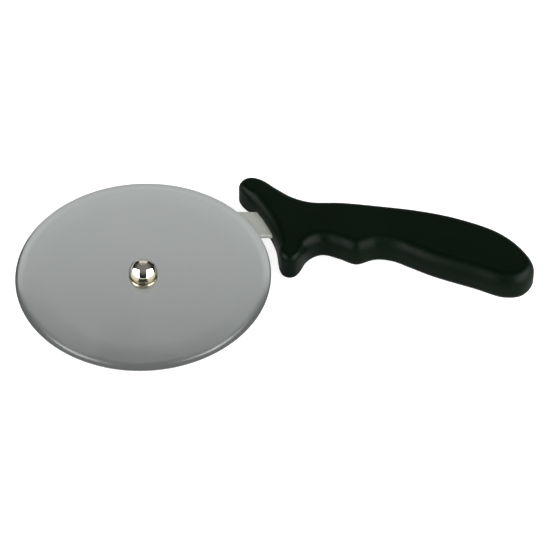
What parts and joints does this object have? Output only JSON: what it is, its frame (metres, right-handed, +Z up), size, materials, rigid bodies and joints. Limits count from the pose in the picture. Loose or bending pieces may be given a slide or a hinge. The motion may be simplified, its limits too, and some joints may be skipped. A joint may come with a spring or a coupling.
{
  "type": "pastry cutter wheel",
  "caption": "Hand cutter for dough and pastry: a bevelled steel wheel that spins on a riveted axle beside a flat arm, with a moulded grip and crescent finger guard.",
  "frame": {"origin": "centre of the whole tool's box in plan, at the level of the table it lies on", "axes": "+X along the tool, from the wheel to the handle's tail; +Y across it, towards the guard's upper prong; +Z up. The tool lies as it is put down, on the rivet's formed tail and the guard's two prongs, so the wheel's axle leans 3.39 degrees from +Z, away from the handle, and is given by the joint wheel_spin."},
  "size_m": [0.2062, 0.1033, 0.0182],
  "materials": {
    "wheel_steel": "satin, fine grained",
    "arm_steel": "satin, as stamped",
    "rivet_metal": "polished nickel, warm",
    "washer_steel": "plain",
    "handle_plastic": "semi-gloss, moulded, very dark green"
  },
  "bodies": {
    "frame": {"axle_rivet": "rivet_metal", "axle_sleeve": "washer_steel", "front_washer": "washer_steel", "rear_washer": "washer_steel", "rivet_burr": "washer_steel", "support_arm": "arm_steel", "handle": "handle_plastic"},
    "wheel": {"cutting_wheel": "wheel_steel"}
  },
  "joints": [
    {"name": "wheel_spin", "type": "hinge", "parent": "frame", "child": "wheel", "pos_m": [-0.05228, -0.00085, 0.00615], "axis": [-0.0545, -0.0227, 0.9983], "continuous": true}
  ]
}
